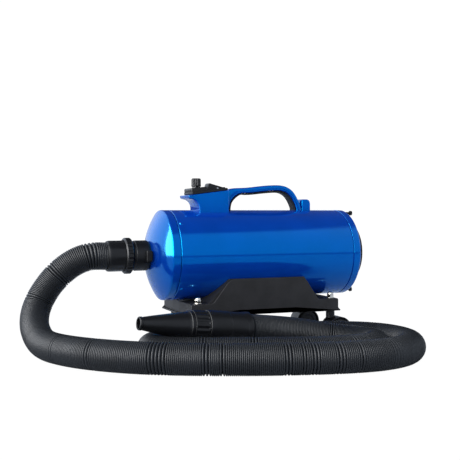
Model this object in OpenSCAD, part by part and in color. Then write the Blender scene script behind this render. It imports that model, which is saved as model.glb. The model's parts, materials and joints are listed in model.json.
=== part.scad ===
/* [Barrel] */
// Outside diameter of the barrel
barrel_d = 180; // [178:1:182]
// Length of the barrel between its two seams
barrel_len = 374; // [370:1:380]
// Thickness of the steel sheet
sheet_t = 1.5; // [1.2:0.1:2]
// How far each end dome stands out from its seam
dome_h = 44; // [43:1:46]
// Height of the barrel's lowest line above the floor
barrel_lift = 90; // [89:1:92]

/* [Outlet] */
// Outside diameter of the outlet adapter
adapter_d = 60; // [58:1:60]
// Outside diameter of the spigot that the hose cuff slides over
spigot_d = 50; // [48:1:50]
// Bore of the air path
air_bore = 44; // [40:1:44]
// Outside diameter of the lock ring on the hose cuff
lock_ring_d = 71; // [69:1:74]

/* [Hose] */
// Outside diameter of the corrugated hose
hose_d = 54; // [50:1:54]
// Wall of the hose, ribs included
hose_wall = 2; // [1.5:0.5:3]

/* [Nozzle] */
// Whole length of the nozzle and its cuff
nozzle_len = 210; // [206:1:214]
// Length of the tapered nozzle
cone_len = 97; // [94:1:100]
// Outside diameter of the nozzle's tip
tip_d = 23; // [22:1:26]
// Outside diameter of the nozzle cuff
cuff_d = 60; // [58:1:60]

/* [Cradle] */
// Length of the cradle
cradle_len = 320; // [316:1:324]
// Width of the cradle
cradle_w = 176; // [172:1:178]
// Height of the cradle's lower edge above the floor
cradle_lift = 63; // [62:1:64]
// Wall of the moulded cradle
cradle_wall = 4; // [3:0.5:5]

/* [Casters] */
// Diameter of each caster wheel
wheel_d = 46; // [44:1:46]
// Width of one of the two wheels on a caster
wheel_w = 12; // [10:1:12]
// How far the wheel axle trails behind the swivel axis
caster_trail = 14; // [12:1:14]
// Distance between the front and rear swivel axes
caster_base = 290; // [286:1:290]
// Distance between the left and right swivel axes
caster_track = 144; // [140:1:146]

/* [Handle and controls] */
// Height of the handle's inner edge above the barrel, at its highest
handle_rise = 36; // [34:1:38]
// Width of the handle
handle_w = 28; // [26:1:30]
// Width of the control box
box_w = 60; // [56:1:62]
// Diameter of the speed knob
knob_d = 20; // [18:1:22]

/* [Hidden] */

$fn = 96;
eps = 0.05;       // a cut runs this far past the face it opens
gap = 0.3;        // air between pieces that don't bear on each other
run = 0.05;       // radial play of a turning fit

blue = [0.03, 0.24, 0.72];
black = [0.07, 0.07, 0.08];
steel = [0.72, 0.73, 0.75];
copper = [0.75, 0.43, 0.22];

barrel_r = barrel_d / 2;
axis_z = barrel_lift + barrel_r;
top_z = barrel_lift + barrel_d;
spigot_out = 105;             // the spigot's end, measured from the outlet seam
adapter_out = 75;             // the adapter's shoulder, from the same seam
cuff_out = 125;               // the hose cuff's end, from the same seam
screw_out = dome_h + 1;       // the cover screws' heads, from the intake seam
centre_x = (spigot_out - screw_out) / 2;
outlet_x = centre_x - barrel_len / 2;
intake_x = centre_x + barrel_len / 2;

// Places the children on the barrel's axis at x, with their Z along +X.
module on_axis(x) translate([x, 0, axis_z]) rotate([0, 90, 0]) children();

// The same, with Z pointing out of the outlet end.
module out_of_outlet(distance) translate([outlet_x - distance, 0, axis_z]) rotate([0, -90, 0]) children();

// A hollow round bar along Z, from z0 to z1.
module tube(r_out, r_in, z0, z1) {
    translate([0, 0, z0]) difference() {
        cylinder(r = r_out, h = z1 - z0);
        translate([0, 0, -eps]) cylinder(r = r_in, h = z1 - z0 + 2 * eps);
    }
}

// A side view drawn in x and z, made solid across y.
module side_slab(width) rotate([90, 0, 0]) linear_extrude(width, center = true) children();

module barrel_space(clearance) {
    on_axis(outlet_x - dome_h) cylinder(r = barrel_r + clearance, h = barrel_len + 2 * dome_h);
}

// ---- end domes ----
skirt = 16;                   // straight, before the round cap begins
crown_steps = 14;
// A cap of a sphere on the skirt: its edge is at radius r, its middle at height h.
function crown(r, h) =
    let (rise = h - skirt, ball = (r * r + rise * rise) / (2 * rise), edge = asin(r / ball))
    [for (i = [0 : crown_steps]) let (a = edge * (1 - i / crown_steps))
        [ball * sin(a), h - ball * (1 - cos(a))]];
function reversed(v) = [for (i = [len(v) - 1 : -1 : 0]) v[i]];

lip_r = barrel_r - sheet_t - gap;
lip_len = 12;
seam_gap = 0.5;
screw_ring_z = -7;
shell_screw_r = 1.5;
shell_screw_angles = [45, 135, 225, 315];

module dome(hole_r) {
    difference() {
        union() {
            rotate_extrude() polygon(concat(
                [[barrel_r, 0]], crown(barrel_r, dome_h),
                reversed(crown(barrel_r - sheet_t, dome_h - sheet_t)), [[barrel_r - sheet_t, 0]]));
            tube(lip_r, lip_r - sheet_t, -lip_len, 4);
            tube(barrel_r - sheet_t / 2, lip_r - sheet_t / 2, seam_gap, 3);
        }
        translate([0, 0, -eps]) cylinder(r = hole_r, h = dome_h + 1);
    }
}

module shell_screw_holes(r) {
    for (a = shell_screw_angles) rotate(a) translate([0, 0, screw_ring_z]) rotate([0, 90, 0])
        cylinder(r = r, h = barrel_r + 5);
}

module barrel() {
    color(blue) difference() {
        on_axis(outlet_x) tube(barrel_r, barrel_r - sheet_t, 0, barrel_len);
        out_of_outlet(0) shell_screw_holes(shell_screw_r + run);
    }
}

adapter_hole_r = 27;
module outlet_dome() {
    color(blue) out_of_outlet(0) difference() {
        dome(adapter_hole_r);
        shell_screw_holes(shell_screw_r + run);
    }
}

intake_r = 60;
cover_screw_at = barrel_r - 7;
cover_screw_r = 2.5;
gland_r = 8;
gland_bore_r = 4;
gland_at = [0, 52, -52];
module intake_dome() {
    color(blue) difference() {
        on_axis(intake_x) dome(intake_r - 2);
        on_axis(intake_x) for (side = [-1, 1]) translate([side * cover_screw_at, 0, 0])
            cylinder(r = cover_screw_r + run, h = dome_h);
        translate([intake_x, 0, axis_z] + gland_at) rotate([0, 90, 0])
            cylinder(r = gland_r + run, h = dome_h);
    }
}

module shell_screws() {
    color(blue) out_of_outlet(0) for (a = shell_screw_angles) rotate(a)
        translate([0, 0, screw_ring_z]) rotate([0, 90, 0]) {
            translate([0, 0, lip_r - sheet_t - 2]) cylinder(r = shell_screw_r, h = sheet_t * 2 + gap + 2.4);
            translate([0, 0, barrel_r + 0.1]) cylinder(r1 = 3.6, r2 = 2.4, h = 1.6);
        }
}

// ---- outlet ----
flange_at = 41.8;             // where the adapter's flange bears on the dome
tab_w = 16;
tab_t = 8;
tab_from = flange_at + 2;
tab_house_t = 12;             // the raised housing that the tab slides in
module outlet_adapter() {
    color(black) out_of_outlet(0) difference() {
        union() {
            cylinder(r = adapter_hole_r - 0.2, h = flange_at + 1);
            translate([0, 0, flange_at]) cylinder(r = adapter_d / 2, h = adapter_out - flange_at);
            translate([0, 0, adapter_out - 1]) cylinder(r = spigot_d / 2, h = spigot_out - adapter_out + 1);
            translate([-tab_w / 2 - 3, -adapter_d / 2 - 7, flange_at]) cube([tab_w + 6, 14, tab_house_t]);
        }
        translate([0, 0, -eps]) cylinder(r = adapter_hole_r, h = flange_at - 12);
        translate([0, 0, -eps]) cylinder(r = air_bore / 2, h = spigot_out + 1);
        translate([-tab_w / 2 - gap, -adapter_d / 2 - 8, tab_from - gap])
            cube([tab_w + 2 * gap, 12, tab_t + 2 * gap]);
    }
}

// The ribbed button beside the outlet that frees the hose cuff.
module release_tab() {
    color(black) out_of_outlet(tab_from) {
        translate([-tab_w / 2, -adapter_d / 2 - 10, 0]) cube([tab_w, 11, tab_t]);
        for (i = [-2 : 2]) translate([i * 3 - 0.6, -adapter_d / 2 - 11, 0]) cube([1.2, 1.5, tab_t]);
    }
}

cuff_r = 30.3;
ring_from = 77;
ring_to = 92;
module hose_cuff() {
    color(black) out_of_outlet(0) difference() {
        tube(cuff_r, spigot_d / 2 + run, adapter_out + gap, cuff_out);
        for (a = [0 : 30 : 330]) rotate(a) translate([cuff_r, 0, ring_to + 4]) cylinder(r = 0.8, h = 24);
    }
}

ring_ribs = 24;
module lock_ring() {
    color(black) out_of_outlet(0) difference() {
        tube(lock_ring_d / 2, cuff_r + run, ring_from, ring_to);
        for (i = [0 : ring_ribs - 1]) rotate(i * 360 / ring_ribs)
            translate([lock_ring_d / 2 + 0.4, 0, ring_from + 3])
                cylinder(r = 1.5, h = ring_to - ring_from - 6);
    }
}

// ---- intake ----
grille_at = 33.2;             // the grille's seat, from the intake seam
grille_t = 3;
grille_rim = 3;
module intake_grille() {
    color(black) on_axis(intake_x + grille_at) {
        tube(intake_r + grille_rim, intake_r - 4, 0, grille_t);
        for (r = [12 : 11 : 45]) tube(r + 1, r - 1.2, 0, grille_t);
        cylinder(r = 6, h = grille_t);
        for (a = [0 : 45 : 315]) rotate(a) translate([4, -1, 0]) cube([intake_r - 6, 2, grille_t]);
    }
}

module grille_clamp() {
    color(black) on_axis(intake_x) tube(intake_r - 2.5, intake_r - 6, grille_at - 10, grille_at - 0.1);
}

module filter_foam() {
    color([0.16, 0.16, 0.17]) on_axis(intake_x) cylinder(r = intake_r - 6.3, h = grille_at - 0.2);
}

module cover_screws() {
    color(black) on_axis(intake_x) for (side = [-1, 1]) translate([side * cover_screw_at, 0, 0]) {
        translate([0, 0, 12]) cylinder(r = cover_screw_r, h = screw_out - 15);
        translate([0, 0, screw_out - 4]) cylinder(r = 5, h = 4);
    }
}

module lead_gland() {
    color(black) translate([intake_x, 0, axis_z] + gland_at) rotate([0, 90, 0]) difference() {
        union() {
            translate([0, 0, 18.5]) cylinder(r = gland_r, h = 21.5);
            translate([0, 0, 39.4]) cylinder(r = 10, h = 2.6, $fn = 6);
            translate([0, 0, 40]) cylinder(r1 = 7.5, r2 = 6, h = 4);
        }
        translate([0, 0, 17.5]) cylinder(r = gland_bore_r, h = 27.5);
    }
}

// ---- motor and fan ----
fan_r = 70;
fan_from = 2;                 // the fan case, from the middle of the barrel
fan_to = 62;
shaft_r = 5;
motor_r = 46;
motor_from = -88;
motor_to = -8;
bearing_r = 13;
module in_motor(x) on_axis(centre_x + x) children();

module fan_case() {
    color(steel) in_motor(0) {
        tube(fan_r, fan_r - 1.5, fan_from, fan_to);
        tube(fan_r - 1, 22, fan_to - 1.5, fan_to);
        tube(fan_r - 1, bearing_r + 8, fan_from, fan_from + 3);
        tube(bearing_r + 11, bearing_r + 8, motor_to, fan_from + 1);
    }
}

blades = 7;
module impeller() {
    color(steel) in_motor(0) {
        tube(64, shaft_r, 20, 22);
        tube(64, 24, 50, 51.5);
        tube(11, shaft_r, 20, 50);
        for (i = [0 : blades - 1]) rotate(i * 360 / blades) difference() {
            translate([36, 22, 21]) cylinder(r = 33, h = 30);
            translate([36, 22, 20]) cylinder(r = 31.5, h = 32);
            translate([-70, -64, 20]) cube([106, 140, 32]);
            translate([-10, 20, 20]) cube([90, 60, 32]);
            tube(90, 62, 20, 52);
        }
    }
}

module rotor() {
    color(steel) in_motor(0) {
        translate([0, 0, motor_from + 4]) cylinder(r = shaft_r, h = 56 - motor_from);
        tube(28, shaft_r - eps, -66, -22);
        tube(14, shaft_r - eps, -78, -69);
    }
}

module motor_can() {
    color(steel) in_motor(0) difference() {
        union() {
            tube(motor_r, motor_r - 1.5, motor_from, -10);
            tube(motor_r - 1, bearing_r, motor_from, motor_from + 8);
            tube(motor_r - 1, bearing_r, motor_to - 8, motor_to);
        }
        for (a = [0 : 60 : 300]) rotate(a) translate([31, 0, motor_from - 1]) cylinder(r = 7, h = 90);
    }
}

module stator() {
    color(copper) in_motor(0) tube(motor_r - 1.7, 28.6, -64, -24);
}

module bearing(x) {
    color(steel) in_motor(x) tube(bearing_r, shaft_r + run, 0, 8);
}
module front_bearing() bearing(motor_to - 8);
module rear_bearing() bearing(motor_from);

module fan_cushion() {
    color([0.2, 0.2, 0.21]) in_motor(0) tube(barrel_r - sheet_t - 0.2, fan_r + 0.2, 14, 50);
}

module motor_spider() {
    color(black) in_motor(0) {
        tube(motor_r + 4, motor_r + 0.1, -60, -48);
        tube(barrel_r - sheet_t - 0.2, barrel_r - sheet_t - 4, -60, -48);
        for (a = [45 : 90 : 315]) rotate(a) translate([motor_r + 3, -3, -60])
            cube([barrel_r - motor_r - sheet_t - 6, 6, 12]);
    }
}

module brush_holders() {
    color(copper) in_motor(-78) for (a = [30, 210]) rotate(a) translate([15, -4, 0]) cube([18, 8, 8]);
}

// ---- control box on top ----
box_from = outlet_x + 58;
box_to = outlet_x + 120;
box_lip_x = outlet_x + 34;
box_low_z = top_z + 29;       // the top face's left end
box_high_z = top_z + 40;      // and its right end
module box_outline(wall) {
    polygon([
        [box_from + wall, top_z - 20], [box_from - 1 + wall, top_z + 8], [box_from - 5 + wall, top_z + 16],
        [box_from - 12 + wall, top_z + 22], [box_lip_x + 2 + wall, top_z + 24 + wall / 2],
        [box_lip_x + wall, box_low_z], [box_to - wall, box_high_z], [box_to - wall, top_z - 20]
    ]);
}
module control_box() {
    color(blue) difference() {
        side_slab(box_w) box_outline(0);
        side_slab(box_w - 6) box_outline(3);
        translate([box_from - 22, -box_w / 2 + 5, top_z + 26]) cube([box_to - box_from + 19, box_w - 10, 20]);
        barrel_space(0.2);
    }
}

panel_tilt = atan2(box_high_z - box_low_z, box_to - box_lip_x);
panel_from = 9;               // along the box's sloping top, from its lip
panel_to = 86;
knob_x = outlet_x + 60;
rocker_x = outlet_x + 99;
rocker_z = top_z + 44;
rocker_reach = 17.5;
rocker_w = 22;
module on_panel(x) {
    translate([box_lip_x, 0, box_low_z + 0.1]) rotate([0, -panel_tilt, 0]) translate([x, 0, 0]) children();
}
module switch_panel() {
    color(black) difference() {
        union() {
            on_panel(panel_from) translate([0, -box_w / 2 + 4, 0])
                cube([panel_to - panel_from, box_w - 8, 5]);
            on_panel(panel_from) translate([0, -box_w / 2 + 6, 0]) cube([34, box_w - 12, 12.5]);
            on_panel(panel_from + 34 - eps) translate([0, -rocker_w / 2 - 3, 0])
                cube([panel_to - panel_from - 34 + eps, rocker_w + 6, 7]);
        }
        translate([rocker_x, 0, rocker_z]) side_slab(rocker_w + 0.6) circle(r = rocker_reach + 0.5);
        translate([knob_x, 0, top_z]) cylinder(r = 3 + run, h = 60);
        translate([knob_x, 0, top_z + 20]) cylinder(r = 9, h = 22);
        translate([rocker_x, 0, rocker_z]) side_slab(box_w - 16) circle(r = 1.5);
    }
}

module control_board() {
    color([0.05, 0.35, 0.15]) translate([box_from + 4, -box_w / 2 + 6, top_z + 6])
        cube([52, box_w - 12, 1.6]);
}

knob_z = top_z + 47;
module speed_dial() {
    color(steel) translate([knob_x, 0, top_z + 30]) difference() {
        cylinder(r = 8, h = 10);
        translate([0, 0, 2]) cylinder(r = 3 + run, h = 12);
    }
}
module dial_shaft() {
    color(steel) translate([knob_x, 0, top_z + 32.3]) cylinder(r = 3, h = knob_z + 8 - top_z - 32.3);
}

knob_h = 17;
knob_flutes = 16;
module speed_knob() {
    color(black) translate([knob_x, 0, knob_z]) difference() {
        union() {
            cylinder(r = knob_d / 2, h = knob_h - 1.5);
            translate([0, 0, knob_h - 1.5]) cylinder(r1 = knob_d / 2, r2 = knob_d / 2 - 1.5, h = 1.5);
        }
        translate([0, 0, -eps]) cylinder(r = 3, h = 8 + eps);
        for (i = [0 : knob_flutes - 1]) rotate(i * 360 / knob_flutes)
            translate([knob_d / 2 + 0.6, 0, 3]) cylinder(r = 1.2, h = knob_h);
    }
}

module rocker() {
    color(black) translate([rocker_x, 0, rocker_z]) side_slab(rocker_w) difference() {
        intersection() {
            circle(r = rocker_reach);
            polygon([[-20, -3], [-20, 7], [-14, 10.5], [-6, 8], [20, 1.5], [20, -3]]);
        }
        circle(r = 1.5 + run);
    }
}

module rocker_pin() {
    color(steel) translate([rocker_x, 0, rocker_z]) side_slab(box_w - 18) circle(r = 1.5);
}

// ---- handle ----
// Left and right halves of the hand opening's edge, from the barrel up and over.
handle_from = outlet_x + 131;
inner_edge = [
    [0, -4], [1, 8], [6, 19], [18, handle_rise - 7], [34, handle_rise - 5], [68, handle_rise - 2.5],
    [100, handle_rise], [116, handle_rise - 1], [129, handle_rise - 8], [138, 16], [143, 5], [145, -4]
];
function unit(v) = v / norm(v);
function heading(path, i) = unit(path[min(i + 1, len(path) - 1)] - path[max(i - 1, 0)]);
function beside(path, d) = [for (i = [0 : len(path) - 1])
    let (h = heading(path, i)) path[i] + d * [-h[1], h[0]]];
module band(near, far) polygon(concat(beside(inner_edge, near), reversed(beside(inner_edge, far))));

grip_t = 4;
handle_t = 16;
handle_heel = box_to - handle_from + 0.2;     // the face that bears on the control box
bend_starts = 3;              // the inner edge's point where the outer edge leaves the box
module handle_outline() {
    outer = beside(inner_edge, handle_t);
    polygon(concat(
        [[handle_heel, -6], [handle_heel, 41]],
        [for (i = [bend_starts : len(outer) - 1]) outer[i]],
        reversed(beside(inner_edge, grip_t + 0.1))));
}
module handle() {
    color(blue) difference() {
        translate([handle_from, 0, top_z]) side_slab(handle_w) handle_outline();
        barrel_space(0.2);
    }
}

module handle_grip() {
    color(black) difference() {
        translate([handle_from, 0, top_z]) side_slab(handle_w - 4) band(0, grip_t);
        barrel_space(0.2);
    }
}

anchor_from = handle_from + 145 + handle_t + 0.5;
module handle_anchor() {
    color(blue) difference() {
        translate([anchor_from, 0, top_z]) side_slab(handle_w - 2) {
            polygon([[0, -10], [0, 22.5], [14, 22.5], [18, 20], [20, 14], [20, -10]]);
        }
        barrel_space(0.2);
    }
}

// ---- cradle ----
plate_top = 135;              // top of the side plates
deck_z = 88;                  // top of the end decks
arch_z = 73;                  // underside of the arch between the legs
cradle_x = centre_x - 8;      // its middle, a little towards the outlet
rise_left = [-115, -79];      // the left slope's foot and top, from the middle
rise_right = [114, 83];       // and the right slope's
module cradle_outline() {
    translate([cradle_x, 0]) polygon([
        [-cradle_len / 2, cradle_lift], [-cradle_len / 2, deck_z], [rise_left[0], deck_z],
        [rise_left[1], plate_top], [rise_right[1], plate_top], [rise_right[0], deck_z],
        [cradle_len / 2, deck_z], [cradle_len / 2, cradle_lift],
        [86, cradle_lift], [68, arch_z], [-65, arch_z], [-82, cradle_lift]
    ]);
}
// The moulding is open below, so its hollow follows only the top.
module cradle_hollow(wall) {
    translate([cradle_x, 0]) polygon([
        [-cradle_len / 2 + wall, 0], [-cradle_len / 2 + wall, deck_z - wall],
        [rise_left[0] + wall / 2, deck_z - wall], [rise_left[1] + wall / 2, plate_top - wall],
        [rise_right[1] - wall / 2, plate_top - wall], [rise_right[0] - wall / 2, deck_z - wall],
        [cradle_len / 2 - wall, deck_z - wall], [cradle_len / 2 - wall, 0]
    ]);
}
caster_x = centre_x - 3.5;    // halfway between the left and right swivel axes
module each_stem() {
    for (x = [-1, 1], y = [-1, 1])
        translate([caster_x + x * caster_base / 2, y * caster_track / 2, 0]) children();
}
stem_r = 5;
deck_edge = 123;              // where each deck meets the rising part, from the middle
stem_boss_r = 10;
lip_w = 5;                    // the rim along each end's lower edge
lip_t = 3;
module cradle_moulding() {
    difference() {
        union() {
            difference() {
                side_slab(cradle_w) cradle_outline();
                difference() {
                    side_slab(cradle_w - 2 * cradle_wall) cradle_hollow(cradle_wall);
                    barrel_space(cradle_wall);
                }
            }
            each_stem() translate([0, 0, cradle_lift]) cylinder(r = stem_boss_r, h = deck_z - cradle_lift);
            for (side = [-1, 1])
                translate([cradle_x + side * (cradle_len + lip_w - 1) / 2, 0, cradle_lift + lip_t / 2])
                    cube([lip_w + 1, cradle_w, lip_t], center = true);
        }
        barrel_space(0.2);
        each_stem() translate([0, 0, cradle_lift - 1]) cylinder(r = stem_r + run, h = 60);
    }
}

// Half of the space between the side plates, from the middle of the cradle plus from, outwards.
inside_w = cradle_w - 2 * cradle_wall;
module between_plates(from, to) {
    translate([cradle_x + from, -inside_w / 2, 0]) cube([to - from, inside_w, plate_top + 20]);
}
module cradle_plate(side) {
    color(black) intersection() {
        cradle_moulding();
        translate([cradle_x - cradle_len, side < 0 ? -cradle_w / 2 - 1 : inside_w / 2, 0])
            cube([2 * cradle_len, cradle_wall + 1, plate_top + 20]);
    }
}
module cradle_deck(side) {
    color(black) intersection() {
        cradle_moulding();
        if (side < 0) between_plates(-cradle_len, -deck_edge);
        else between_plates(deck_edge, cradle_len);
    }
}
// The curved seat under the barrel and the sloping wall at each end of it.
saddle_t = 6.5;
slope_t = 6;
module cradle_saddle() {
    color(black) difference() {
        union() {
            intersection() {
                side_slab(inside_w) cradle_outline();
                on_axis(cradle_x - deck_edge) cylinder(r = barrel_r + saddle_t, h = 2 * deck_edge);
            }
            translate([cradle_x, 0, 0]) side_slab(inside_w) {
                polygon([[-deck_edge, deck_z - cradle_wall], [-deck_edge, deck_z], [rise_left[1], plate_top],
                    [rise_left[1] + slope_t, plate_top], [rise_left[0] + slope_t, deck_z - cradle_wall]]);
                polygon([[deck_edge, deck_z - cradle_wall], [deck_edge, deck_z], [rise_right[0], deck_z],
                    [rise_right[1], plate_top], [rise_right[1] - slope_t, plate_top],
                    [rise_right[0] - slope_t, deck_z - cradle_wall]]);
            }
        }
        barrel_space(0.2);
    }
}

module caster_stems() {
    color(steel) each_stem() {
        translate([0, 0, 49]) cylinder(r = stem_r, h = deck_z + 6 - 49);
    }
}

module acorn_nuts() {
    color(steel) each_stem() translate([0, 0, deck_z + 0.1]) difference() {
        union() {
            cylinder(r = 8.5, h = 1.5);
            translate([0, 0, 1.5]) cylinder(r = 7.5, h = 6, $fn = 6);
            intersection() {
                translate([0, 0, 7.5]) sphere(r = 6.3);
                translate([0, 0, 7]) cylinder(r = 7, h = 8);
            }
        }
        translate([0, 0, -eps]) cylinder(r = stem_r, h = 6);
    }
}

// ---- casters: n and f are the near and far side, l and r the outlet and intake end ----
wheel_r = wheel_d / 2;
web_w = 9;
axle_r = 3;
hood_r = wheel_r + 4;
module at_caster(x, y) {
    translate([caster_x + x * caster_base / 2, y * caster_track / 2, 0]) children();
}
module at_axle(x, y) at_caster(x, y) translate([caster_trail, 0, wheel_r]) rotate([90, 0, 0]) children();

module caster_hood(x, y) {
    color(black) difference() {
        union() {
            difference() {
                at_axle(x, y) cylinder(r = hood_r, h = 2 * wheel_w + web_w + 2, center = true);
                at_axle(x, y) for (s = [-1, 1]) translate([0, 0, s * (web_w + wheel_w + 4) / 2])
                    cylinder(r = wheel_r + 1.5, h = wheel_w + 4, center = true);
            }
            at_caster(x, y) translate([0, 0, 48]) cylinder(r = 9, h = cradle_lift - 0.4 - 48);
        }
        at_caster(x, y) translate([caster_trail - 40, -40, -20]) cube([80, 80, 20 + wheel_r - 6]);
        at_caster(x, y) translate([0, 0, 48.9]) cylinder(r = stem_r + run, h = 20);
        at_axle(x, y) cylinder(r = axle_r, h = 60, center = true);
    }
}

module caster_axle(x, y) {
    color(steel) at_axle(x, y) cylinder(r = axle_r, h = 2 * wheel_w + web_w + 0.6, center = true);
}

module caster_wheels(x, y) {
    color(black) at_axle(x, y) for (s = [-1, 1])
        translate([0, 0, s * (web_w / 2 + gap + wheel_w / 2)]) difference() {
            union() {
                cylinder(r = wheel_r, h = wheel_w - 3, center = true);
                cylinder(r = wheel_r - 1.5, h = wheel_w, center = true);
            }
            cylinder(r = axle_r + run, h = wheel_w + 2, center = true);
            translate([0, 0, s * wheel_w / 2]) rotate_extrude()
                translate([12, 0]) square([5, 4], center = true);
        }
}

// ---- hose ----
// The hose's middle line, from the outlet cuff round the floor to the nozzle cuff.
nozzle_end = [-70.8, -201.8, 54.5];
hose_route = [
    [-282, 0, 180], [-312, 0, 180], [-340, 4, 171], [-367, 9, 152], [-389, 13, 128],
    [-417, 3, 80], [-423, -18, 58], [-422.5, -52, 41], [-416, -96, 31],
    [-398, -142, 28], [-373, -188, 28], [-337, -232, 28], [-286, -276, 28], [-212, -318, 28],
    [-33, -381, 28], [44, -395, 28], [110, -391, 28], [165, -364, 28],
    [197, -320, 28], [204, -270, 28], [189, -220, 28], [146, -180, 28], [84, -156, 28],
    [23, -146, 28], [-84, -142, 28], [-190, -152, 28],
    [-234, -172, 28], [-249, -206, 28], [-236, -240, 28], [-192, -264, 28], [-98, -298, 28],
    [-20, -325, 28], [62, -337, 28], [117, -325, 28], [143, -290, 28], [134, -251, 28],
    [98, -222, 31], [46, -205, 40], [-24.2, -197.7, 49.4], nozzle_end
];
hose_sides = 12;
// One sideways direction for each point, carried along the path so that the tube doesn't twist.
function squared(side, along) = unit(side - (side * along) * along);
function sides_of(path) = [
    for (i = 0, side = squared([0, 1, 0], heading(path, 0)); i < len(path);
        i = i + 1, side = i < len(path) ? squared(side, heading(path, i)) : side) side
];
function rings(path, r) = let (sides = sides_of(path)) [
    for (i = [0 : len(path) - 1]) let (up = cross(sides[i], heading(path, i)))
        for (k = [0 : hose_sides - 1]) let (a = 360 * k / hose_sides)
            path[i] + r * (cos(a) * sides[i] + sin(a) * up)
];
function skin_faces(rings, first, flip) = [for (i = [0 : rings - 2], k = [0 : hose_sides - 1])
    let (a = first + i * hose_sides + k, b = first + i * hose_sides + (k + 1) % hose_sides)
    each flip ? [[a, b, b + hose_sides], [a, b + hose_sides, a + hose_sides]]
        : [[a + hose_sides, b + hose_sides, b], [a + hose_sides, b, a]]];
function end_faces(outer, inner, flip) = [for (k = [0 : hose_sides - 1])
    let (n = (k + 1) % hose_sides)
    each flip ? [[outer + n, inner + n, inner + k], [outer + n, inner + k, outer + k]]
        : [[outer + k, inner + k, inner + n], [outer + k, inner + n, outer + n]]];
module swept_tube(path, r_out, r_in) {
    n = len(path);
    inner = n * hose_sides;
    last = (n - 1) * hose_sides;
    polyhedron(
        concat(rings(path, r_out), rings(path, r_in)),
        concat(skin_faces(n, 0, true), skin_faces(n, inner, false),
            end_faces(0, inner, false), end_faces(last, inner + last, true)));
}
module hose() {
    color(black) swept_tube(hose_route, hose_d / 2, hose_d / 2 - hose_wall);
}

// ---- nozzle: Z runs from the hose end of its cuff to its tip ----
nozzle_turn = 5;              // degrees away from the barrel's direction
nozzle_slope = 6.2;           // degrees up from the floor, because it lies on the hose
coupling_len = 28;
coupling_from = nozzle_len - cone_len - coupling_len;
cone_from = nozzle_len - cone_len;
module on_nozzle(z) {
    translate(nozzle_end) rotate([0, nozzle_slope - 90, nozzle_turn]) translate([0, 0, z]) children();
}

module nozzle_cuff() {
    color(black) on_nozzle(0) {
        tube(cuff_d / 2, 25, gap, coupling_from - gap);
        tube(cuff_d / 2 + 1, cuff_d / 2 - 0.5, gap, 4);
        tube(24, 21, coupling_from - 12, coupling_from + 24);
        tube(25.2, 23.5, coupling_from - 12, coupling_from - 8);
    }
}

module nozzle_coupling() {
    color(black) on_nozzle(0) difference() {
        tube(28.5, 24 + run, coupling_from, cone_from);
        for (i = [0 : 17]) rotate(i * 20) translate([29, 0, coupling_from + 4])
            cylinder(r = 1.4, h = coupling_len - 8);
    }
}

module nozzle() {
    base_r = 27;
    tip_r = tip_d / 2;
    neck_at = cone_len - 8;   // where the taper ends in the rolled tip
    color(black) on_nozzle(cone_from) difference() {
        rotate_extrude() polygon([
            [19, 0], [base_r - 0.6, 0], [base_r, 0.6], [base_r, 5], [base_r - 0.4, 6], [base_r - 1.2, 6.6],
            for (z = [10 : 5 : neck_at - 1])
                [tip_r + (24.6 - tip_r) * pow((neck_at - z) / (neck_at - 10), 0.92), z],
            [tip_r - 0.2, cone_len - 6], [tip_r + 0.4, cone_len - 5], [tip_r + 0.5, cone_len - 3],
            [tip_r + 0.2, cone_len - 1], [tip_r - 0.5, cone_len - 0.2], [tip_r - 1.2, cone_len],
            [tip_r - 2.5, cone_len], [tip_r - 3, cone_len - 0.6], [tip_r - 3, neck_at - 6], [13, 60], [17, 36]
        ]);
        translate([0, 0, -1]) cylinder(r = 19, h = 1 + eps);
    }
}

barrel();
outlet_dome();
intake_dome();
shell_screws();
outlet_adapter();
release_tab();
intake_grille();
grille_clamp();
filter_foam();
cover_screws();
lead_gland();
fan_case();
impeller();
rotor();
motor_can();
stator();
front_bearing();
rear_bearing();
fan_cushion();
motor_spider();
brush_holders();
control_box();
switch_panel();
control_board();
speed_dial();
speed_knob();
dial_shaft();
rocker();
rocker_pin();
handle();
handle_grip();
handle_anchor();
cradle_plate(-1);  // cradle_plate_near
cradle_plate(1);  // cradle_plate_far
cradle_deck(-1);  // cradle_deck_left
cradle_deck(1);  // cradle_deck_right
cradle_saddle();
caster_stems();
acorn_nuts();
caster_hood(-1, -1);  // caster_hood_nl
caster_hood(1, -1);  // caster_hood_nr
caster_hood(-1, 1);  // caster_hood_fl
caster_hood(1, 1);  // caster_hood_fr
caster_axle(-1, -1);  // caster_axle_nl
caster_axle(1, -1);  // caster_axle_nr
caster_axle(-1, 1);  // caster_axle_fl
caster_axle(1, 1);  // caster_axle_fr
caster_wheels(-1, -1);  // caster_wheels_nl
caster_wheels(1, -1);  // caster_wheels_nr
caster_wheels(-1, 1);  // caster_wheels_fl
caster_wheels(1, 1);  // caster_wheels_fr
hose_cuff();
lock_ring();
hose();
nozzle_cuff();
nozzle_coupling();
nozzle();
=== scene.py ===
import json

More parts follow.
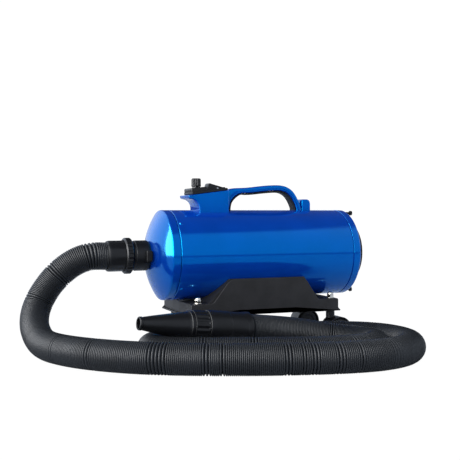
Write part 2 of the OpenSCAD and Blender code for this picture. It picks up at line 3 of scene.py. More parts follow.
import bmesh
import bpy
import numpy as np
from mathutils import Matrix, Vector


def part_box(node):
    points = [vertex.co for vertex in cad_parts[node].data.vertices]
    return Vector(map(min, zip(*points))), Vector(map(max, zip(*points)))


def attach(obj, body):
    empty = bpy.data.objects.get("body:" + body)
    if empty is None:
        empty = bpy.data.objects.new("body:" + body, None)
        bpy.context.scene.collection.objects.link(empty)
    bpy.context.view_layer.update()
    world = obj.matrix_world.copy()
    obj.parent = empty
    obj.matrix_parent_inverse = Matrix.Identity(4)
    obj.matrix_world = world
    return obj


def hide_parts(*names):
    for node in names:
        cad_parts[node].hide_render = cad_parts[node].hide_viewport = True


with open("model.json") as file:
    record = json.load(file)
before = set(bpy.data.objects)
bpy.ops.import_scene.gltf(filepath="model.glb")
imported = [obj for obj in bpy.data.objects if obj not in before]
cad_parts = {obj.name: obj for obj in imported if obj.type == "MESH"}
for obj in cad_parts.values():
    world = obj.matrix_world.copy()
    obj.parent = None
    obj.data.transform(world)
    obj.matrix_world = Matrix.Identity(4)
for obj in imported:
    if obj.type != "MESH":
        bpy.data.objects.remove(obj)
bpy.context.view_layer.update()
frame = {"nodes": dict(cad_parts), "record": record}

nodes = frame["nodes"]
mm = 0.001
print("frame: loaded", len(nodes), "nodes")


def boxOf(node):
    # Lowest and highest corner of a node, in mm
    low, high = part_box(node)
    return np.array(low) / mm, np.array(high) / mm


# The places that the pieces are built from, in mm
barrelLow, barrelHigh = boxOf("barrel")
outletX, intakeX = barrelLow[0], barrelHigh[0]
barrelR = (barrelHigh[2] - barrelLow[2]) / 2
topZ = barrelHigh[2]
axisZ = topZ - barrelR

# Camera
cameraLook = {"place": (-0.648, -1.570, 0.270), "tilt": 88.6, "turn": -21.7, "lens": 64.2}
cameraData = bpy.data.cameras.new("camera")
cameraData.lens = cameraLook["lens"]
cameraData.sensor_width = 36
cameraObject = bpy.data.objects.new("camera", cameraData)
cameraObject.location = cameraLook["place"]
cameraObject.rotation_euler = np.radians([cameraLook["tilt"], 0, cameraLook["turn"]])
bpy.context.scene.collection.objects.link(cameraObject)
bpy.context.scene.camera = cameraObject


def unit(v):
    return v / np.linalg.norm(v, axis=-1, keepdims=True)


def smoothLine(points, step):
    # Natural cubic spline through the points, with the distance along them as its parameter,
    # then points every step along it
    points = np.asarray(points, float)
    gaps = np.linalg.norm(np.diff(points, axis=0), axis=1)
    along = np.concatenate([[0], np.cumsum(gaps)])
    n = len(points)
    matrix, target = np.eye(n), np.zeros_like(points)
    inner = np.arange(1, n - 1)
    matrix[inner, inner - 1] = gaps[:-1]
    matrix[inner, inner] = 2 * (gaps[:-1] + gaps[1:])
    matrix[inner, inner + 1] = gaps[1:]
    slopes = np.diff(points, axis=0) / gaps[:, None]
    target[1:-1] = 6 * np.diff(slopes, axis=0)
    bend = np.linalg.solve(matrix, target)          # second derivative at each point
    fine = np.linspace(0, along[-1], int(along[-1] / step) * 4)
    i = np.clip(np.searchsorted(along, fine) - 1, 0, n - 2)
    t, h = (fine - along[i])[:, None], gaps[i][:, None]
    line = (points[i] + t * (slopes[i] - h * (2 * bend[i] + bend[i + 1]) / 6)
            + t ** 2 * bend[i] / 2 + t ** 3 * (bend[i + 1] - bend[i]) / (6 * h))
    return evenly(line, step)


def lengthAlong(line):
    return np.concatenate([[0], np.cumsum(np.linalg.norm(np.diff(line, axis=0), axis=1))])


def pointsAt(line, distances):
    along = lengthAlong(line)
    return np.stack([np.interp(distances, along, line[:, k]) for k in range(line.shape[1])], -1)


def evenly(line, step):
    total = lengthAlong(line)[-1]
    return pointsAt(line, np.linspace(0, total, int(total / step) + 1))


def rounded(corners, radius, steps=4):
    # Each corner of a closed outline becomes a short curve: (1-t)^2 of a point before it,
    # 2t(1-t) of the corner and t^2 of a point after it, both one radius away from the corner
    corners = np.asarray(corners, float)
    before, after = np.roll(corners, 1, 0) - corners, np.roll(corners, -1, 0) - corners
    room = 0.48 * np.minimum(np.linalg.norm(before, axis=1), np.linalg.norm(after, axis=1))
    reach = np.minimum(radius, room)[:, None, None]
    t = np.linspace(0, 1, steps + 1)[None, :, None]
    start = corners[:, None] + unit(before)[:, None] * reach
    end = corners[:, None] + unit(after)[:, None] * reach
    return ((1 - t) ** 2 * start + 2 * t * (1 - t) * corners[:, None] + t ** 2 * end).reshape(-1, 2)


def gridFaces(nu, nv, wrapU=True, wrapV=True):
    # Quads between neighbours on a grid of nu by nv points, closed round either way where asked
    u, v = np.meshgrid(np.arange(nu - (not wrapU)), np.arange(nv - (not wrapV)), indexing="ij")
    nextU, nextV = (u + 1) % nu, (v + 1) % nv
    return np.stack([u * nv + v, nextU * nv + v, nextU * nv + nextV, u * nv + nextV], -1).reshape(-1, 4)


def placed(local, origin, along, side):
    # Local (along, side, up) distances to the machine's own frame
    along = unit(np.asarray(along, float))
    side = unit(np.asarray(side, float) - np.dot(side, along) * along)
    up = np.cross(along, side)
    return (np.asarray(origin, float) + local[..., :1] * along + local[..., 1:2] * side
            + local[..., 2:3] * up)


def turned(profile, sides, flutes=0, depth=0, fluted=(0, 0), hexUpTo=0):
    # A profile of (distance, radius) turned about its axis. Flutes take depth * (1 - cos) / 2 off
    # the radius between the two fluted distances; below hexUpTo the outline is a hexagon
    profile = np.asarray(profile, float)
    t = np.linspace(0, 2 * np.pi, sides, endpoint=False)[:, None]
    distance, radius = profile[None, :, 0], profile[None, :, 1] * np.ones((sides, 1))
    inFlutes = (distance > fluted[0]) & (distance < fluted[1])
    radius = radius - inFlutes * depth * (1 - np.cos(flutes * t)) / 2
    sixth = np.pi / 3
    hexagon = np.cos(sixth / 2) / np.cos((t % sixth) - sixth / 2)
    radius = np.where(distance < hexUpTo, radius * hexagon, radius)
    distance = distance * np.ones((sides, 1))
    return np.stack([distance, radius * np.cos(t), radius * np.sin(t)], -1)


def lathe(profile, sides, origin, along, side=(0, 0, 1), poles=False, **shape):
    # A closed profile makes a ring or tube; with poles it starts and ends on the axis
    grid = placed(turned(profile, sides, **shape), origin, along, side)
    return grid, gridFaces(sides, len(profile), True, not poles)


def slab(corners, radius, width, edge, middle=0.0, steps=3):
    # An (x, z) outline carried across y. Near each end it shrinks by edge * (1 - sin a) while y
    # moves by edge * (1 - cos a), which rounds the long edges; no corner is tighter than they need
    outline = rounded(corners, np.maximum(radius, 1.5 * edge))
    nextPoint = np.roll(outline, -1, 0)
    if np.sum(outline[:, 0] * nextPoint[:, 1] - nextPoint[:, 0] * outline[:, 1]) < 0:
        outline = outline[::-1]
    ahead = unit(np.roll(outline, -1, 0) - outline)
    normal = np.stack([-ahead[:, 1], ahead[:, 0]], -1)          # towards the inside
    behind = np.roll(normal, 1, 0)
    mitre = (normal + behind) / np.maximum(1 + np.sum(normal * behind, 1, keepdims=True), 0.4)
    a = np.linspace(0, np.pi / 2, steps + 1)
    inset = edge * (1 - np.sin(a))
    y = width / 2 - edge * (1 - np.cos(a))
    inset, y = np.concatenate([inset, inset[::-1]]), np.concatenate([-y, y[::-1]])
    flat = outline[None] + inset[:, None, None] * mitre[None]
    grid = np.stack([flat[..., 0], np.broadcast_to(middle + y[:, None], flat.shape[:2]), flat[..., 1]], -1)
    rings, count = grid.shape[:2]
    faces = gridFaces(rings, count, False, True).tolist()
    last = (rings - 1) * count
    return grid, faces + [list(range(count))[::-1], list(range(last, last + count))]


def lofted(inner, outer, width, power, sides=48):
    # Sections between two (x, z) lines: middle + sign(cos t) |cos t|^power of half the gap, and
    # sign(sin t) |sin t|^power of half the width in y, so a small power gives a squarer bar
    t = np.linspace(0, 2 * np.pi, sides, endpoint=False)
    across, over = (np.sign(f(t)) * np.abs(f(t)) ** power for f in (np.cos, np.sin))
    flat = (inner + outer)[:, None] / 2 + across[None, :, None] * (outer - inner)[:, None] / 2
    grid = np.stack([flat[..., 0], np.broadcast_to(over * width / 2, flat.shape[:2]), flat[..., 1]], -1)
    last = (len(inner) - 1) * sides
    return grid, gridFaces(len(inner), sides, False, True).tolist() + [
        list(range(sides))[::-1], list(range(last, last + sides))]


def enclosed(points, faces):
    # Six times the volume inside the faces, negative where they look inwards
    total = 0.0
    for size in set(len(f) for f in faces):
        corner = points[np.array([f for f in faces if len(f) == size])]
        for k in range(1, size - 1):
            total += np.sum(corner[:, 0] * np.cross(corner[:, k], corner[:, k + 1]))
    return total


def makePiece(name, parts, body, material, replaces=(), crease=32):
    # One object from (points in mm, faces) parts, its faces outwards and its poles closed
    points, faces, start = [], [], 0
    for part, corners in parts:
        part = np.asarray(part).reshape(-1, 3)
        corners = [list(c) for c in corners]
        if enclosed(part - part.mean(0), corners) < 0:
            corners = [c[::-1] for c in corners]
        faces += [[k + start for k in c] for c in corners]
        points.append(part)
        start += len(part)
    mesh = bpy.data.meshes.new(name)
    mesh.from_pydata((np.concatenate(points) * mm).tolist(), [], faces)
    piece = bpy.data.objects.new(name, mesh)
    bpy.context.scene.collection.objects.link(piece)
    merged = bmesh.new()
    merged.from_mesh(mesh)
    bmesh.ops.remove_doubles(merged, verts=merged.verts, dist=2e-5)
    merged.to_mesh(mesh)
    merged.free()
    mesh.polygons.foreach_set("use_smooth", np.ones(len(mesh.polygons), bool))
    mesh.set_sharp_from_angle(angle=np.radians(crease))
    mesh.materials.append(material)
    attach(piece, body)
    if replaces:
        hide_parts(*replaces)
    return piece


slotOf = {part["node"]: part["material_slot"] for part in frame["record"]["subparts"]}


def colour(code):
    # An sRGB hex code to linear red, green, blue and a full alpha
    share = np.array([int(code[i:i + 2], 16) for i in (0, 2, 4)]) / 255
    linear = np.where(share <= 0.04045, share / 12.92, ((share + 0.055) / 1.055) ** 2.4)
    return (*linear.tolist(), 1.0)


def put(tree, kind, inputs=None, **settings):
    # Adds a node, with its settings, and its inputs as values or links
    node = tree.nodes.new(kind)
    for name, value in settings.items():
        setattr(node, name, value)
    for name, value in (inputs or {}).items():
        if isinstance(value, bpy.types.NodeSocket):
            tree.links.new(value, node.inputs[name])
        else:
            node.inputs[name].default_value = value
    return node


def finish(name, light, dark, rough, cloud, grain, depth, shader=None, stretch=(1, 1, 1), cells=False):
    # light and dark colours mixed by soft clouds (mm across), which also carry the roughness from
    # one value to the other; a finer grain (mm across) stands out by depth (mm)
    material = bpy.data.materials.new(name)
    material.use_nodes = True
    tree = material.node_tree
    tree.nodes.clear()
    place = put(tree, "ShaderNodeTexCoord").outputs["Object"]
    place = put(tree, "ShaderNodeMapping", {"Vector": place, "Scale": stretch}).outputs["Vector"]
    clouds = put(tree, "ShaderNodeTexNoise", {"Vector": place, "Scale": 1000 / cloud, "Detail": 4.0})
    spread = put(tree, "ShaderNodeMapRange", {
        "Value": clouds.outputs["Fac"], "From Min": 0.35, "From Max": 0.65})
    mixed = put(tree, "ShaderNodeMix", {"Factor": spread.outputs[0]}, data_type="RGBA")
    mixed.inputs[6].default_value, mixed.inputs[7].default_value = colour(light), colour(dark)
    roughness = put(tree, "ShaderNodeMapRange", {
        "Value": spread.outputs[0], "To Min": rough[0], "To Max": rough[1]})
    if cells:
        fine = put(tree, "ShaderNodeTexVoronoi", {
            "Vector": place, "Scale": 1000 / grain}).outputs["Distance"]
    else:
        fine = put(tree, "ShaderNodeTexNoise", {
            "Vector": place, "Scale": 1000 / grain, "Detail": 2.0}).outputs["Fac"]
    bump = put(tree, "ShaderNodeBump", {"Height": fine, "Distance": depth * mm, "Strength": 1.0})
    body = put(tree, "ShaderNodeBsdfPrincipled", {
        "Base Color": mixed.outputs[2], "Roughness": roughness.outputs[0], "Normal": bump.outputs[0],
        **(shader or {})})
    put(tree, "ShaderNodeOutputMaterial", {"Surface": body.outputs[0]})
    return material


dull = {"Specular IOR Level": 0.25}      # moulded blacks reflect little
finishes = {
    # Stove enamel sprayed on steel: deep blue body under a wet lacquer with a cyan cast, and a
    # faint orange peel 5 mm across
    "blue_enamel": finish("stovedEnamel", "053ea4", "043a9b", (0.1, 0.13), 60, 5, 0.003,
                          {"IOR": 2.3, "Specular Tint": (0.0, 0.5, 1.0, 1.0)}),
    # Bright zinc on turned steel: fine streaks round the part
    "steel": finish("zincPlatedSteel", "b9bcc0", "8f9296", (0.25, 0.38), 12, 0.4, 0.01,
                    {"Metallic": 1.0}, (1, 1, 8)),
    # Nickel plate on brass nuts: mirror with a warm cast
    "nickel": finish("nickelPlate", "d8d4cc", "bdb8ae", (0.08, 0.14), 8, 1.5, 0.003,
                     {"Metallic": 1.0}),
    # Sand-cast aluminium: dull grain 0.5 mm
    "aluminium": finish("castAluminium", "b4b8bc", "9a9ea3", (0.45, 0.6), 10, 0.5, 0.04,
                        {"Metallic": 1.0}),
    # Enamelled copper winding: wires 0.8 mm apart along the axis
    "copper": finish("woundCopper", "b8703c", "8c4a20", (0.3, 0.4), 6, 0.8, 0.2, {"Metallic": 1.0},
                     (1, 0.1, 0.1)),
    # Glass-epoxy board under green resist
    "board": finish("epoxyBoard", "1f6b3a", "17552d", (0.3, 0.4), 5, 0.6, 0.02),
    # Reticulated foam: open cells 1.5 mm across
    "foam": finish("openCellFoam", "2c2d30", "1b1c1e", (0.9, 0.95), 9, 1.5, 0.7, cells=True),
    # Soft vinyl over a wire coil: satin, with a slight bloom
    "hose_plastic": finish("ribbedVinyl", "1d1f22", "141619", (0.42, 0.52), 45, 0.7, 0.02,
                           {"Specular IOR Level": 0.28}),
    # Thermoplastic rubber: matte with a fine stipple
    "soft_rubber": finish("mouldedRubber", "151517", "0e0e10", (0.5, 0.62), 16, 0.5, 0.03, dull),
    # Glass-filled nylon, injection moulded: satin
    "hose_fitting": finish("mouldedNylon", "121214", "0c0c0e", (0.34, 0.44), 25, 0.6, 0.015, dull),
    # ABS with a fine spark-eroded texture
    "control_black": finish("mouldedAbs", "151517", "0e0e10", (0.3, 0.4), 18, 0.5, 0.015,
                            {"Specular IOR Level": 0.28}),
    # Polyethylene moulding: matte charcoal with a leathery grain 0.9 mm
    "cradle_black": finish("mouldedPolyethylene", "2a2828", "232121", (0.5, 0.6), 30, 0.9, 0.05, dull),
    # Polypropylene: plain semi-matte black
    "black_plastic": finish("mouldedPolypropylene", "141416", "0d0d0f", (0.36, 0.46), 20, 0.6, 0.02, dull),
}
for node, material in slotOf.items():
    used = nodes[node].data.materials
    used.clear()
    used.append(finishes[material])
print("materials:", len(finishes))

# Hose: the outlet's cuff, a drop to the floor, one and a half loops in front, and the nozzle's cuff
hoseLook = {
    "route": [
        (-282, 0, 180), (-312, 0, 180), (-340, 4, 171), (-367, 9, 152), (-389, 13, 128),
        (-417, 3, 80), (-423, -18, 58), (-422.5, -52, 41), (-416, -96, 31),
        (-398, -142, 28), (-373, -188, 28), (-337, -232, 28), (-286, -276, 28), (-212, -318, 28),
        (-33, -381, 28), (44, -395, 28), (110, -391, 28), (165, -364, 28),
        (197, -320, 28), (204, -270, 28), (189, -220, 28), (146, -180, 28), (84, -156, 28),
        (23, -146, 28), (-84, -142, 28), (-190, -152, 28),
        (-234, -172, 28), (-249, -206, 28), (-236, -240, 28), (-192, -264, 28), (-98, -298, 28),
        (-20, -325, 28), (62, -337, 28), (117, -325, 28), (143, -290, 28), (134, -251, 28),
        (98, -222, 31), (46, -205, 40), (-24.2, -197.7, 49.4), (-70.8, -201.8, 54.5)],
    "radius": 27, "bore": 22.6, "sides": 28,
    "ribPitch": 3.1, "openPitch": 5.6,      # mm between ribs, closed up and pulled open
    "ribDepth": 2.0, "openDepth": 3.6,      # and how deep the groove between them is
    "ribTop": 1.1, "shoulderDrop": 0.35,    # half a rib's width, and its shoulders below its crest
    "ramp": 4, "boreEvery": 8,              # mm over which ribs open up; rings of ribs to one of the bore
    # (from, to) in mm along the hose where the ribs are pulled open
    "open": [(22, 40), (96, 108), (160, 171), (262, 275), (350, 361), (430, 441), (538, 569), (625, 638),
             (653, 661), (755, 769), (783, 790), (798, 812), (838, 853), (876, 883), (934, 950),
             (995, 1015), (1080, 1092), (1163, 1178), (1240, 1252), (1330, 1345), (1420, 1431),
             (1500, 1516), (1584, 1595), (1670, 1682), (1750, 1762), (1836, 1850), (1925, 1937),
             (2010, 2022), (2105, 2119), (2200, 2211)],
}
hoseLine = smoothLine(hoseLook["route"], 1.0)
hoseAlong = lengthAlong(hoseLine)
hoseLength = hoseAlong[-1]
pulled = np.zeros(len(hoseAlong))
for first, last in hoseLook["open"]:
    within = np.minimum(hoseAlong - first, last - hoseAlong)
    pulled = np.maximum(pulled, np.clip(within / hoseLook["ramp"] + 0.5, 0, 1))
pitch = hoseLook["ribPitch"] + pulled * (hoseLook["openPitch"] - hoseLook["ribPitch"])
ribsSoFar = np.concatenate([[0], np.cumsum(np.diff(hoseAlong) / pitch[1:])])
crestAt = np.interp(np.arange(0.5, ribsSoFar[-1], 1.0), ribsSoFar, hoseAlong)
grooveAt = (crestAt[1:] + crestAt[:-1]) / 2
# Four rings a rib: one shoulder, the crest, the other shoulder, then the groove's bottom
half = hoseLook["ribTop"]
ringAt = np.stack([crestAt[:-1] - half, crestAt[:-1], crestAt[:-1] + half, grooveAt], -1).ravel()
deeper = hoseLook["openDepth"] - hoseLook["ribDepth"]
depth = np.interp(grooveAt, hoseAlong, hoseLook["ribDepth"] + pulled * deeper)
shoulder = np.full(len(depth), hoseLook["shoulderDrop"])
drop = np.stack([shoulder, 0 * depth, shoulder, depth], -1).ravel()
inHose = (ringAt > 0.5) & (ringAt < hoseLength - 0.5)
ringAt = np.concatenate([[0], ringAt[inHose], [hoseLength]])
drop = np.concatenate([shoulder[:1], drop[inHose], shoulder[:1]])
centres = pointsAt(hoseLine, ringAt)
headings = unit(np.gradient(centres, ringAt, axis=0))
# Ring: centre + radius * (cos t * side + sin t * up), radius = outside - drop
sideways = unit(np.cross(headings, (0, 0, 1)))
upwards = np.cross(sideways, headings)
t = np.linspace(0, 2 * np.pi, hoseLook["sides"], endpoint=False)[None, :, None]
circle = np.cos(t) * sideways[:, None] + np.sin(t) * upwards[:, None]
ribRadius = hoseLook["radius"] - drop
outside = centres[:, None] + ribRadius[:, None, None] * circle
every = np.unique(np.append(np.arange(0, len(centres), hoseLook["boreEvery"]), len(centres) - 1))
inside = centres[every, None] + hoseLook["bore"] * circle[every]
hoseGrid = np.concatenate([outside, inside[::-1]])
hose = makePiece("ribbed_hose", [(hoseGrid, gridFaces(len(hoseGrid), hoseLook["sides"]))], "frame",
                 finishes["hose_plastic"], ["hose"], crease=80)
print("hose: length", round(hoseLength), "mm,", len(centres), "rings")

# Hose cuff: a fluted sleeve; lock ring: a ribbed collar over it
cuffLook = {"sides": 144, "flutes": 12, "fluteDepth": 1.0, "ringRibs": 24, "ringDepth": 1.6}
cuffLow, cuffHigh = boxOf("hose_cuff")
cuffLen, cuffR = cuffHigh[0] - cuffLow[0], (cuffHigh[2] - cuffLow[2]) / 2
profile = rounded([(0, 25.1), (cuffLen, 25.1), (cuffLen, cuffR - 0.8), (cuffLen - 4, cuffR),
                   (cuffLen - 26, cuffR), (1.5, cuffR), (0, cuffR - 1)], 1.0)
hoseCuff = makePiece("hose_sleeve", [lathe(
    profile, cuffLook["sides"], (cuffHigh[0], 0, axisZ), (-1, 0, 0), flutes=cuffLook["flutes"],
    depth=cuffLook["fluteDepth"], fluted=(22, cuffLen - 5))], "frame", finishes["hose_fitting"],
    ["hose_cuff"])
ringLow, ringHigh = boxOf("lock_ring")
ringLen, ringR = ringHigh[0] - ringLow[0], (ringHigh[2] - ringLow[2]) / 2
profile = rounded([(0, cuffR + 0.1), (ringLen, cuffR + 0.1), (ringLen, ringR - 2.5), (ringLen - 2.5, ringR),
                   (ringLen - 4, ringR), (4, ringR), (2.5, ringR), (0, ringR - 2.5)], 1.2)
lockRing = makePiece("lock_collar", [lathe(
    profile, cuffLook["sides"], (ringHigh[0], 0, axisZ), (-1, 0, 0), flutes=cuffLook["ringRibs"],
    depth=cuffLook["ringDepth"], fluted=(3.2, ringLen - 3.2))], "hose_lock", finishes["hose_fitting"],
    ["lock_ring"])

# Nozzle cuff and its ribbed coupling, along the nozzle's own axis
nozzleLook = {"end": (-70.8, -201.8, 54.5), "slope": 6.2, "turn": 5, "couplingAt": 85, "coneAt": 113,
              "cuffR": 30, "couplingR": 28.5, "ribs": 18, "ribDepth": 1.4}
slope, turn = np.radians([nozzleLook["slope"], nozzleLook["turn"]])
nozzleAxis = np.array([-np.cos(slope) * np.cos(turn), -np.cos(slope) * np.sin(turn), np.sin(slope)])
cuffR, to = nozzleLook["cuffR"], nozzleLook["couplingAt"] - 0.3
profile = rounded([(0.3, 25), (to, 25), (to, cuffR - 1.2), (to - 1.2, cuffR), (44, cuffR),
                   (42, cuffR - 0.7), (12, cuffR - 0.7), (10, cuffR), (6, cuffR + 0.8),
                   (1.2, cuffR + 0.8), (0.3, cuffR)], 1.0)
nozzleCuff = makePiece("nozzle_sleeve", [
    lathe(profile, 96, nozzleLook["end"], nozzleAxis),
    lathe(rounded([(73, 21), (109, 21), (109, 24), (73, 24)], 0.6), 96, nozzleLook["end"], nozzleAxis)],
    "frame", finishes["hose_fitting"], ["nozzle_cuff"])
start, to, r = nozzleLook["couplingAt"], nozzleLook["coneAt"], nozzleLook["couplingR"]
profile = rounded([(start, 24.1), (to, 24.1), (to, r - 0.6), (to - 1, r), (to - 4, r), (start + 4, r),
                   (start + 1, r), (start, r - 0.6)], 0.8)
nozzleCoupling = makePiece("nozzle_coupling_ring", [lathe(
    profile, 144, nozzleLook["end"], nozzleAxis, flutes=nozzleLook["ribs"], depth=nozzleLook["ribDepth"],
    fluted=(start + 3, to - 3))], "nozzle_head", finishes["hose_fitting"], ["nozzle_coupling"])
print("hose: sleeves and collars")

# Drum: a rolled shell and two domes, each with a short straight skirt before it curves in
drumLook = {"sides": 192, "sheet": 1.5, "domeHeight": 44, "skirt": 16, "crease": 3, "seam": 0.7, "lip": 1.1,
            "edge": 0.9, "outletHole": 27, "intakeHole": 58}
sheet = drumLook["sheet"]
shellLen = intakeX - outletX
profile = rounded([(0, barrelR - sheet), (shellLen, barrelR - sheet), (shellLen, barrelR - 0.9),
                   (shellLen - drumLook["lip"], barrelR), (drumLook["lip"], barrelR),
                   (0, barrelR - drumLook["edge"])], 0.5)
makePiece("drum_shell", [lathe(profile, drumLook["sides"], (outletX, 0, axisZ), (1, 0, 0))], "frame",
          finishes["blue_enamel"], ["barrel"])


def domeProfile(hole):
    # A straight skirt, a small round crease, then a cap of a sphere: height = top - ball * (1 - cos a)
    # and radius = ball * sin a, from its edge in to the hole
    rise = drumLook["domeHeight"] - drumLook["skirt"]
    ball = (barrelR ** 2 + rise ** 2) / (2 * rise)
    a = np.linspace(np.arcsin((barrelR - drumLook["crease"]) / ball), np.arcsin(hole / ball), 50)
    cap = np.stack([drumLook["domeHeight"] - ball * (1 - np.cos(a)), ball * np.sin(a)], -1)
    t = np.linspace(0, 1, 9)[1:-1, None]
    skirtEnd, corner = np.array([[drumLook["skirt"] - 2.5, barrelR], [drumLook["skirt"] + 0.2, barrelR]])
    bend = (1 - t) ** 2 * skirtEnd + 2 * t * (1 - t) * corner + t ** 2 * cap[0]
    outer = np.concatenate([
        [(drumLook["seam"], barrelR - 1.4), (drumLook["seam"] + drumLook["edge"], barrelR), skirtEnd],
        bend, cap])
    innerSkin = outer[::-1] - np.stack([np.linspace(sheet, 0.0, len(outer)),
                                        np.linspace(0.0, sheet, len(outer))], -1)
    return np.concatenate([outer, innerSkin])


for name, node, x, way, hole in (
        ("outlet_end_dome", "outlet_dome", outletX, -1, drumLook["outletHole"]),
        ("intake_end_dome", "intake_dome", intakeX, 1, drumLook["intakeHole"])):
    makePiece(name, [lathe(domeProfile(hole), drumLook["sides"], (x, 0, axisZ), (way, 0, 0))], "frame",
              finishes["blue_enamel"], [node], crease=50)
print("drum: shell and domes")

# Outlet adapter: a stout collar against the dome, the spigot inside the cuff, and the button's housing
adapterLook = {"from": 41.8, "shoulder": 75, "end": 105, "r": 30, "neckR": 26.8, "spigotR": 25, "bore": 22,
               "houseLen": 12, "houseHalf": 11, "houseOut": 37, "houseIn": 25, "edge": 1.6}
neck, shoulder, end, r, bore = (adapterLook[k] for k in ("from", "shoulder", "end", "r", "bore"))
profile = rounded([
    (30, bore), (30, adapterLook["neckR"]), (neck, adapterLook["neckR"]), (neck + 0.2, r - 2),
    (neck + 4, r), (shoulder - 5, r), (shoulder - 4, r - 0.9), (shoulder, r - 0.9),
    (shoulder, adapterLook["spigotR"]), (end, adapterLook["spigotR"]), (end, bore)], 0.8)
near, far = outletX - neck - 0.1, outletX - neck - adapterLook["houseLen"]
low, high = axisZ - adapterLook["houseHalf"], axisZ + adapterLook["houseHalf"]
outer, inner = adapterLook["houseOut"], adapterLook["houseIn"]
makePiece("outlet_collar", [
    lathe(profile, 128, (outletX, 0, axisZ), (-1, 0, 0)),
    slab([(far, low), (near, low), (near, high), (far, high)], 2.5, outer - inner, adapterLook["edge"],
         -(outer + inner) / 2)], "frame", finishes["hose_fitting"], ["outlet_adapter"])
print("outlet: collar")

# Control box, its switch panel, rocker and knob
boxLow, boxHigh = boxOf("control_box")
boxLook = {"edge": 1.7, "panelFrom": 9, "panelTo": 86, "blockLen": 34, "blockT": 12.5,
           "plateT": 5, "frameT": 7, "rockerW": 22, "knobR": 10, "knobFlutes": 16}
lipX, boxTo, boxFrom = boxLow[0], boxHigh[0], outletX + 58
boxW = boxHigh[1] - boxLow[1]
lowTop, highTop = topZ + 29, topZ + 40
outline = [(boxFrom, topZ - 9), (boxFrom - 1, topZ + 8), (boxFrom - 5, topZ + 16),
           (boxFrom - 12, topZ + 21), (lipX + 2, topZ + 22.5), (lipX, lowTop), (boxTo, highTop),
           (boxTo, topZ - 9)]
makePiece("switch_housing", [slab(outline, [2, 8, 6, 6, 2.6, 2.6, 2.6, 2], boxW, boxLook["edge"])], "frame",
          finishes["blue_enamel"], ["control_box"])
tilt = np.arctan2(highTop - lowTop, boxTo - lipX)


def onPanel(corners):
    # Points along and above the box's sloping top to (x, z)
    u, w = np.asarray(corners, float).T
    return np.stack([lipX + u * np.cos(tilt) - w * np.sin(tilt),
                     lowTop + 0.1 + u * np.sin(tilt) + w * np.cos(tilt)], -1)


def panelSlab(start, to, thickness, width, edge=1.2):
    corners = onPanel([(start, 0), (to, 0), (to, thickness), (start, thickness)])
    return slab(corners, [0.3, 0.3, 1.8, 1.8], width, edge)


start, to, block = boxLook["panelFrom"], boxLook["panelTo"], boxLook["blockLen"]
knobLow, knobHigh = boxOf("speed_knob")
knobR, knobH = boxLook["knobR"], knobHigh[2] - knobLow[2]
knobAt = np.array([(knobLow[0] + knobHigh[0]) / 2, 0, knobLow[2]])
makePiece("switch_plate", [
    panelSlab(start, to, boxLook["plateT"], boxW - 8),
    panelSlab(start + 0.3, start + block, boxLook["blockT"], boxW - 12, 2.0),
    panelSlab(start + block - 0.5, to - 0.3, boxLook["frameT"], boxLook["rockerW"] + 6),
    lathe(rounded([(-6, 4), (-6, knobR - 1), (-0.4, knobR - 1), (-0.4, 4)], 0.4), 96, knobAt, (0, 0, 1),
          (1, 0, 0))],
    "frame", finishes["control_black"], ["switch_panel"])
pivotX, pivotZ = outletX + 99, topZ + 44
outline = np.array([(-17.2, -2.5), (-17.2, 6.6), (-14, 10.5), (-6, 8), (17.3, 1.8), (17.3, -2.5)])
makePiece("rocker_paddle", [slab(outline + (pivotX, pivotZ), [0.5, 2, 2, 3, 1, 0.5],
                                 boxLook["rockerW"], 0.9)], "rocker_switch",
          finishes["control_black"], ["rocker"])
profile = rounded([(0, 0.01), (0, knobR - 0.6), (2.4, knobR), (3, knobR - 0.4), (knobH - 2, knobR - 0.5),
                   (knobH, knobR - 2.2), (knobH - 0.6, knobR - 4), (knobH - 0.6, 0.01)],
                  [0, 0.6, 0.5, 0.5, 1, 1, 1, 0])
pointer = slab([(knobAt[0] - 9.2, knobAt[2] + 4), (knobAt[0] - 10, knobAt[2] + 4),
                (knobAt[0] - 10, knobHigh[2] - 2.4), (knobAt[0] - 9.2, knobHigh[2] - 2.4)], 0.3, 1.2, 0.2)
makePiece("speed_control_knob", [
    lathe(profile, 192, knobAt, (0, 0, 1), (1, 0, 0), poles=True, flutes=boxLook["knobFlutes"], depth=1.2,
          fluted=(3.1, knobH - 1.2)), pointer], "knob", finishes["control_black"], ["speed_knob"])
print("controls: box, panel, rocker, knob")

# Carrying handle: a bent bar with a soft grip along its inner side, and a small anchor block
heel = boxTo - (outletX + 131) + 0.3
handleLook = {
    # (x, z) of the hand opening's edge, then of the bar's outer side level with it
    "edges": [(0, -4, heel, -8), (1, 8, heel, 10), (6, 19, heel, 27), (18, 29, heel + 4, 40),
              (34, 31, 24, 45.5), (68, 33.5, 65, 49.3), (100, 36, 99.5, 51.9), (116, 35, 122, 50),
              (129, 28, 141, 39.3), (138, 16, 152.7, 22), (143, 5, 158.6, 8), (145, -4, 160.8, -6)],
    "gripT": 4, "width": 28, "gripWidth": 24, "power": 0.42, "gripPower": 0.5}
edges = smoothLine(handleLook["edges"], 3.0)
inner, outer = edges[:, :2] + (outletX + 131, topZ), edges[:, 2:] + (outletX + 131, topZ)
outward = unit(outer - inner)
makePiece("handle_bar", [lofted(inner + (handleLook["gripT"] + 0.1) * outward, outer,
                                handleLook["width"], handleLook["power"])],
          "frame", finishes["blue_enamel"], ["handle"], crease=60)
makePiece("handle_soft_grip", [lofted(inner, inner + handleLook["gripT"] * outward, handleLook["gripWidth"],
                                      handleLook["gripPower"])], "frame", finishes["soft_rubber"],
          ["handle_grip"], crease=60)
anchorLow = boxOf("handle_anchor")[0]
outline = np.array([(0, -8), (0, 22.5), (14, 22.5), (18, 20), (20, 14), (20, -8)]) + (anchorLow[0], topZ)
